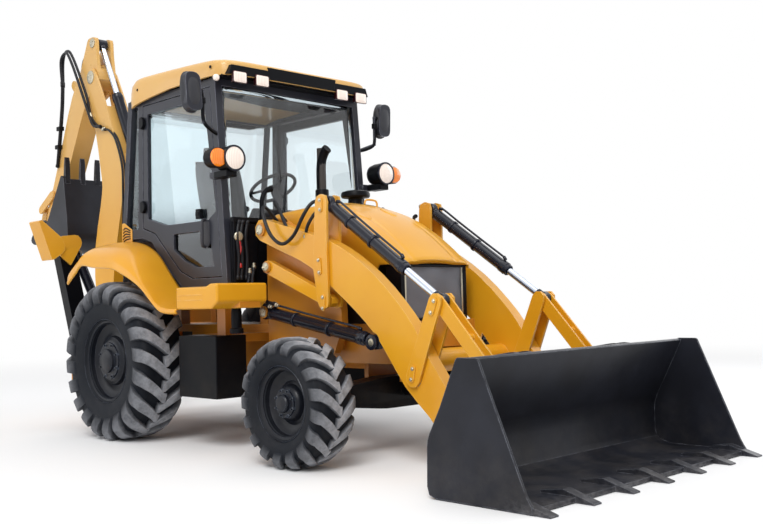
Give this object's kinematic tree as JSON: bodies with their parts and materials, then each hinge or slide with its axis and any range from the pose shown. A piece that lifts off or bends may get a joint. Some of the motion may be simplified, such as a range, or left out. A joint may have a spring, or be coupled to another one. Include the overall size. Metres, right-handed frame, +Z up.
{
  "type": "backhoe loader",
  "caption": "Wheeled backhoe loader with a glazed cab, a front bucket on levelled lift arms, and a folded digging arm with stabilisers at the rear.",
  "frame": {"origin": "middle of the bounding box at ground level", "axes": "+X towards the loader bucket, +Y to the machine's left, +Z up"},
  "size_m": [7.5458, 2.3578, 3.805],
  "materials": {
    "yellow_paint": "glossy yellow paint",
    "grey_paint": "satin dark grey paint",
    "black_paint": "gloss black paint",
    "chrome_rod": "polished chrome plating",
    "zinc_pin": "zinc plated steel",
    "bucket_steel": "satin black paint, worn at the edge",
    "tyre_rubber": "black rubber on a dark painted rim",
    "engine_iron": "dark cast iron",
    "cab_trim": "matte black plastic and vinyl"
  },
  "bodies": {
    "chassis": {"chassis": "yellow_paint", "engine_block": "engine_iron", "radiator": "black_paint", "rear_axle": "black_paint", "front_axle": "black_paint", "cab_frame": "grey_paint", "cab_roof": "yellow_paint", "cab_interior": "cab_trim", "rear_fenders": "yellow_paint"},
    "bonnet": {"bonnet": "yellow_paint"},
    "tilt_rods": {"tilt_rod_left": "chrome_rod", "tilt_rod_right": "chrome_rod"},
    "tilt_barrels": {"tilt_barrel_left": "black_paint", "tilt_barrel_right": "black_paint"},
    "rear_levers": {"rear_lever_left": "yellow_paint", "rear_lever_right": "yellow_paint"},
    "bucket_links": {"bucket_link_left": "yellow_paint", "bucket_link_right": "yellow_paint"},
    "lever_top_pins": {"top_pin_left": "zinc_pin", "top_pin_right": "zinc_pin"},
    "front_levers": {"front_lever_left": "yellow_paint", "front_lever_right": "yellow_paint"},
    "lever_washers": {"lever_washer_left": "zinc_pin", "lever_washer_right": "zinc_pin"},
    "loader_bucket": {"loader_bucket": "bucket_steel"},
    "bucket_washers": {"bucket_washer_left": "zinc_pin", "bucket_washer_right": "zinc_pin"},
    "loader_arms": {"loader_arms": "yellow_paint"},
    "levelling_links": {"levelling_link_left": "yellow_paint", "levelling_link_right": "yellow_paint"},
    "lift_rods": {"lift_rod_left": "chrome_rod", "lift_rod_right": "chrome_rod"},
    "lift_barrels": {"lift_barrel_left": "black_paint", "lift_barrel_right": "black_paint"},
    "rear_wheel_left": {"rear_wheel_left": "tyre_rubber"},
    "steering_knuckle_left": {"steering_knuckle_left": "black_paint"},
    "front_wheel_left": {"front_wheel_left": "tyre_rubber"},
    "door_left": {"door_left": "grey_paint"},
    "stabiliser_leg_left": {"stabiliser_leg_left": "grey_paint"},
    "stabiliser_barrel_left": {"stabiliser_barrel_left": "black_paint"},
    "stabiliser_rod_left": {"stabiliser_rod_left": "chrome_rod"},
    "rear_wheel_right": {"rear_wheel_right": "tyre_rubber"},
    "steering_knuckle_right": {"steering_knuckle_right": "black_paint"},
    "front_wheel_right": {"front_wheel_right": "tyre_rubber"},
    "door_right": {"door_right": "grey_paint"},
    "stabiliser_leg_right": {"stabiliser_leg_right": "grey_paint"},
    "stabiliser_barrel_right": {"stabiliser_barrel_right": "black_paint"},
    "stabiliser_rod_right": {"stabiliser_rod_right": "chrome_rod"},
    "tipping_link": {"tipping_link": "yellow_paint"},
    "tipping_lever": {"tipping_lever": "yellow_paint"},
    "hoe_bucket": {"hoe_bucket": "bucket_steel"},
    "dipper": {"dipper": "yellow_paint"},
    "hoe_bucket_rod": {"hoe_bucket_rod": "chrome_rod"},
    "hoe_bucket_barrel": {"hoe_bucket_barrel": "black_paint"},
    "boom": {"boom": "yellow_paint"},
    "dipper_rod": {"dipper_rod": "chrome_rod"},
    "dipper_barrel": {"dipper_barrel": "black_paint"},
    "swing_post": {"swing_post": "yellow_paint"},
    "boom_rod": {"boom_rod": "chrome_rod"},
    "boom_barrel": {"boom_barrel": "black_paint"}
  },
  "joints": [
    {"name": "rear_wheel_spin_left", "type": "hinge", "parent": "chassis", "child": "rear_wheel_left", "pos_m": [-0.577, 0.877, 0.632], "axis": [0, 1, 0], "continuous": true},
    {"name": "steer_left", "type": "hinge", "parent": "chassis", "child": "steering_knuckle_left", "pos_m": [1.663, 0.745, 0.42], "axis": [0, 0, 1], "range_deg": [-35, 35]},
    {"name": "front_wheel_spin_left", "type": "hinge", "parent": "steering_knuckle_left", "child": "front_wheel_left", "pos_m": [1.663, 0.945, 0.42], "axis": [0, 1, 0], "continuous": true},
    {"name": "door_hinge_left", "type": "hinge", "parent": "chassis", "child": "door_left", "pos_m": [-0.501, 0.735, 1.9], "axis": [0, 0, 1], "range_deg": [0, 80]},
    {"name": "stabiliser_swing_left", "type": "hinge", "parent": "chassis", "child": "stabiliser_leg_left", "pos_m": [-1.537, 0.69, 0.48], "axis": [-1, 0, 0], "range_deg": [0, 95]},
    {"name": "stabiliser_barrel_pivot_left", "type": "hinge", "parent": "stabiliser_leg_left", "child": "stabiliser_barrel_left", "pos_m": [-1.537, 0.83, 1.641], "axis": [1, 0, 0], "range_deg": [-0.5, 8.16]},
    {"name": "stabiliser_rod_slide_left", "type": "slide", "parent": "stabiliser_barrel_left", "child": "stabiliser_rod_left", "axis": [0, -0.3918, -0.92], "range_m": [-0.005, 0.492]},
    {"name": "rear_wheel_spin_right", "type": "hinge", "parent": "chassis", "child": "rear_wheel_right", "pos_m": [-0.577, -0.877, 0.632], "axis": [0, 1, 0], "continuous": true},
    {"name": "steer_right", "type": "hinge", "parent": "chassis", "child": "steering_knuckle_right", "pos_m": [1.663, -0.745, 0.42], "axis": [0, 0, 1], "range_deg": [-35, 35]},
    {"name": "front_wheel_spin_right", "type": "hinge", "parent": "steering_knuckle_right", "child": "front_wheel_right", "pos_m": [1.663, -0.945, 0.42], "axis": [0, 1, 0], "continuous": true},
    {"name": "door_hinge_right", "type": "hinge", "parent": "chassis", "child": "door_right", "pos_m": [-0.501, -0.735, 1.9], "axis": [0, 0, -1], "range_deg": [0, 80]},
    {"name": "stabiliser_swing_right", "type": "hinge", "parent": "chassis", "child": "stabiliser_leg_right", "pos_m": [-1.537, -0.69, 0.48], "axis": [1, 0, 0], "range_deg": [0, 95]},
    {"name": "stabiliser_barrel_pivot_right", "type": "hinge", "parent": "stabiliser_leg_right", "child": "stabiliser_barrel_right", "pos_m": [-1.537, -0.83, 1.641], "axis": [-1, 0, 0], "range_deg": [-0.5, 8.16]},
    {"name": "stabiliser_rod_slide_right", "type": "slide", "parent": "stabiliser_barrel_right", "child": "stabiliser_rod_right", "axis": [0, 0.3918, -0.92], "range_m": [-0.005, 0.492]},
    {"name": "bonnet_hinge", "type": "hinge", "parent": "chassis", "child": "bonnet", "pos_m": [2.023, 0, 1.29], "axis": [0, 1, 0], "range_deg": [0, 55]},
    {"name": "arm_raise", "type": "hinge", "parent": "chassis", "child": "loader_arms", "pos_m": [0.853, 0, 1.6], "axis": [0, -1, 0], "range_deg": [0, 80]},
    {"name": "rear_lever_pivot", "type": "hinge", "parent": "loader_arms", "child": "rear_levers", "pos_m": [1.513, 0, 1.338], "axis": [0, -1, 0], "range_deg": [-80.5, 0.5]},
    {"name": "levelling_link_pivot", "type": "hinge", "parent": "chassis", "child": "levelling_links", "pos_m": [0.888, 0, 1.325], "axis": [0, -1, 0], "range_deg": [-0.5, 80.5]},
    {"name": "lever_washer_pivot", "type": "hinge", "parent": "loader_arms", "child": "lever_washers", "pos_m": [2.361, 0, 0.57], "axis": [0, -1, 0], "range_deg": [-62, 0.5]},
    {"name": "bucket_washer_pivot", "type": "hinge", "parent": "loader_arms", "child": "bucket_washers", "pos_m": [2.714, 0, 0.174], "axis": [0, -1, 0], "range_deg": [-62, 0.5]},
    {"name": "bucket_tilt", "type": "hinge", "parent": "bucket_washers", "child": "loader_bucket", "pos_m": [2.714, 0, 0.174], "axis": [0, -1, 0], "range_deg": [-50, 30]},
    {"name": "front_lever_pivot", "type": "hinge", "parent": "lever_washers", "child": "front_levers", "pos_m": [2.361, 0, 0.57], "axis": [0, -1, 0], "range_deg": [-50.5, 30.5]},
    {"name": "top_pin_pivot", "type": "hinge", "parent": "front_levers", "child": "lever_top_pins", "pos_m": [2.563, 0, 1.048], "axis": [0, -1, 0], "range_deg": [-30.5, 50.5]},
    {"name": "bucket_link_pivot", "type": "hinge", "parent": "lever_top_pins", "child": "bucket_links", "pos_m": [2.563, 0, 1.048], "axis": [0, -1, 0], "range_deg": [-0.5, 62]},
    {"name": "tilt_barrel_pivot", "type": "hinge", "parent": "rear_levers", "child": "tilt_barrels", "pos_m": [1.543, 0, 1.738], "axis": [0, -1, 0], "range_deg": [-0.5, 75.58]},
    {"name": "tilt_rod_slide", "type": "slide", "parent": "tilt_barrels", "child": "tilt_rods", "axis": [0.8283, 0, -0.5603], "range_m": [-0.2628, 0.4346]},
    {"name": "lift_barrel_pivot", "type": "hinge", "parent": "chassis", "child": "lift_barrels", "pos_m": [0.845, 0, 0.997], "axis": [0, -1, 0], "range_deg": [-0.5, 68.37]},
    {"name": "lift_rod_slide", "type": "slide", "parent": "lift_barrels", "child": "lift_rods", "axis": [0.984, 0, -0.1781], "range_m": [-0.005, 0.7148]},
    {"name": "swing", "type": "hinge", "parent": "chassis", "child": "swing_post", "pos_m": [-1.957, 0, 0.76], "axis": [0, 0, 1], "range_deg": [-90, 90]},
    {"name": "boom_hinge", "type": "hinge", "parent": "swing_post", "child": "boom", "pos_m": [-2.207, 0, 0.76], "axis": [0, -1, 0], "range_deg": [0, 95]},
    {"name": "boom_barrel_pivot", "type": "hinge", "parent": "swing_post", "child": "boom_barrel", "pos_m": [-1.997, 0, 1.1], "axis": [0, -1, 0], "range_deg": [-0.5, 103.47]},
    {"name": "boom_rod_slide", "type": "slide", "parent": "boom_barrel", "child": "boom_rod", "axis": [0.2174, 0, 0.9761], "range_m": [-0.005, 0.5623]},
    {"name": "dipper_hinge", "type": "hinge", "parent": "boom", "child": "dipper", "pos_m": [-2.46, 0, 3.391], "axis": [0, 1, 0], "range_deg": [0, 113]},
    {"name": "dipper_barrel_pivot", "type": "hinge", "parent": "boom", "child": "dipper_barrel", "pos_m": [-1.822, 0, 2.5], "axis": [0, 1, 0], "range_deg": [-0.5, 11.57]},
    {"name": "dipper_rod_slide", "type": "slide", "parent": "dipper_barrel", "child": "dipper_rod", "axis": [-0.4561, 0, 0.89], "range_m": [-0.5711, 0.005]},
    {"name": "hoe_bucket_hinge", "type": "hinge", "parent": "dipper", "child": "hoe_bucket", "pos_m": [-3.477, 0, 1.96], "axis": [0, 1, 0], "range_deg": [-8, 115]},
    {"name": "tipping_lever_pivot", "type": "hinge", "parent": "dipper", "child": "tipping_lever", "pos_m": [-3.347, 0, 2.276], "axis": [0, 1, 0], "range_deg": [-8.5, 115.5]},
    {"name": "tipping_link_pivot", "type": "hinge", "parent": "tipping_lever", "child": "tipping_link", "pos_m": [-3.602, 0, 2.136], "axis": [0, 1, 0], "range_deg": [-115.5, 8.5]},
    {"name": "hoe_bucket_barrel_pivot", "type": "hinge", "parent": "dipper", "child": "hoe_bucket_barrel", "pos_m": [-2.927, 0, 3.4], "axis": [0, 1, 0], "range_deg": [-0.88, 6]},
    {"name": "hoe_bucket_rod_slide", "type": "slide", "parent": "hoe_bucket_barrel", "child": "hoe_bucket_rod", "axis": [-0.4711, 0, -0.8821], "range_m": [-0.4992, 0.0394]}
  ],
  "couplings": [
    {"joint": "stabiliser_barrel_pivot_left", "follows": "stabiliser_swing_left", "ratio": 0.080678},
    {"joint": "stabiliser_rod_slide_left", "follows": "stabiliser_swing_left", "m_per_rad": 0.29373},
    {"joint": "stabiliser_barrel_pivot_right", "follows": "stabiliser_swing_right", "ratio": 0.080678},
    {"joint": "stabiliser_rod_slide_right", "follows": "stabiliser_swing_right", "m_per_rad": 0.29373},
    {"joint": "steer_right", "follows": "steer_left", "ratio": 1},
    {"joint": "rear_lever_pivot", "follows": "arm_raise", "ratio": -1},
    {"joint": "levelling_link_pivot", "follows": "arm_raise", "ratio": 1},
    {"joint": "lever_washer_pivot", "follows": "arm_raise", "ratio": -0.76871},
    {"joint": "bucket_washer_pivot", "follows": "arm_raise", "ratio": -0.76871},
    {"joint": "front_lever_pivot", "follows": "bucket_tilt", "ratio": 1},
    {"joint": "top_pin_pivot", "follows": "bucket_tilt", "ratio": -1},
    {"joint": "bucket_link_pivot", "follows": "arm_raise", "ratio": 0.76871},
    {"joint": "tilt_barrel_pivot", "follows": "arm_raise", "ratio": 0.93853},
    {"joint": "tilt_rod_slide", "follows": "bucket_tilt", "m_per_rad": -0.49228},
    {"joint": "lift_barrel_pivot", "follows": "arm_raise", "ratio": 0.84834},
    {"joint": "lift_rod_slide", "follows": "arm_raise", "m_per_rad": 0.50835},
    {"joint": "boom_barrel_pivot", "follows": "boom_hinge", "ratio": 1.0839},
    {"joint": "boom_rod_slide", "follows": "boom_hinge", "m_per_rad": 0.33609},
    {"joint": "dipper_barrel_pivot", "follows": "dipper_hinge", "ratio": 0.097976},
    {"joint": "dipper_rod_slide", "follows": "dipper_hinge", "m_per_rad": -0.28701},
    {"joint": "tipping_lever_pivot", "follows": "hoe_bucket_hinge", "ratio": 1},
    {"joint": "tipping_link_pivot", "follows": "hoe_bucket_hinge", "ratio": -1},
    {"joint": "hoe_bucket_barrel_pivot", "follows": "hoe_bucket_hinge", "ratio": 0.047812},
    {"joint": "hoe_bucket_rod_slide", "follows": "hoe_bucket_hinge", "m_per_rad": -0.24621}
  ]
}
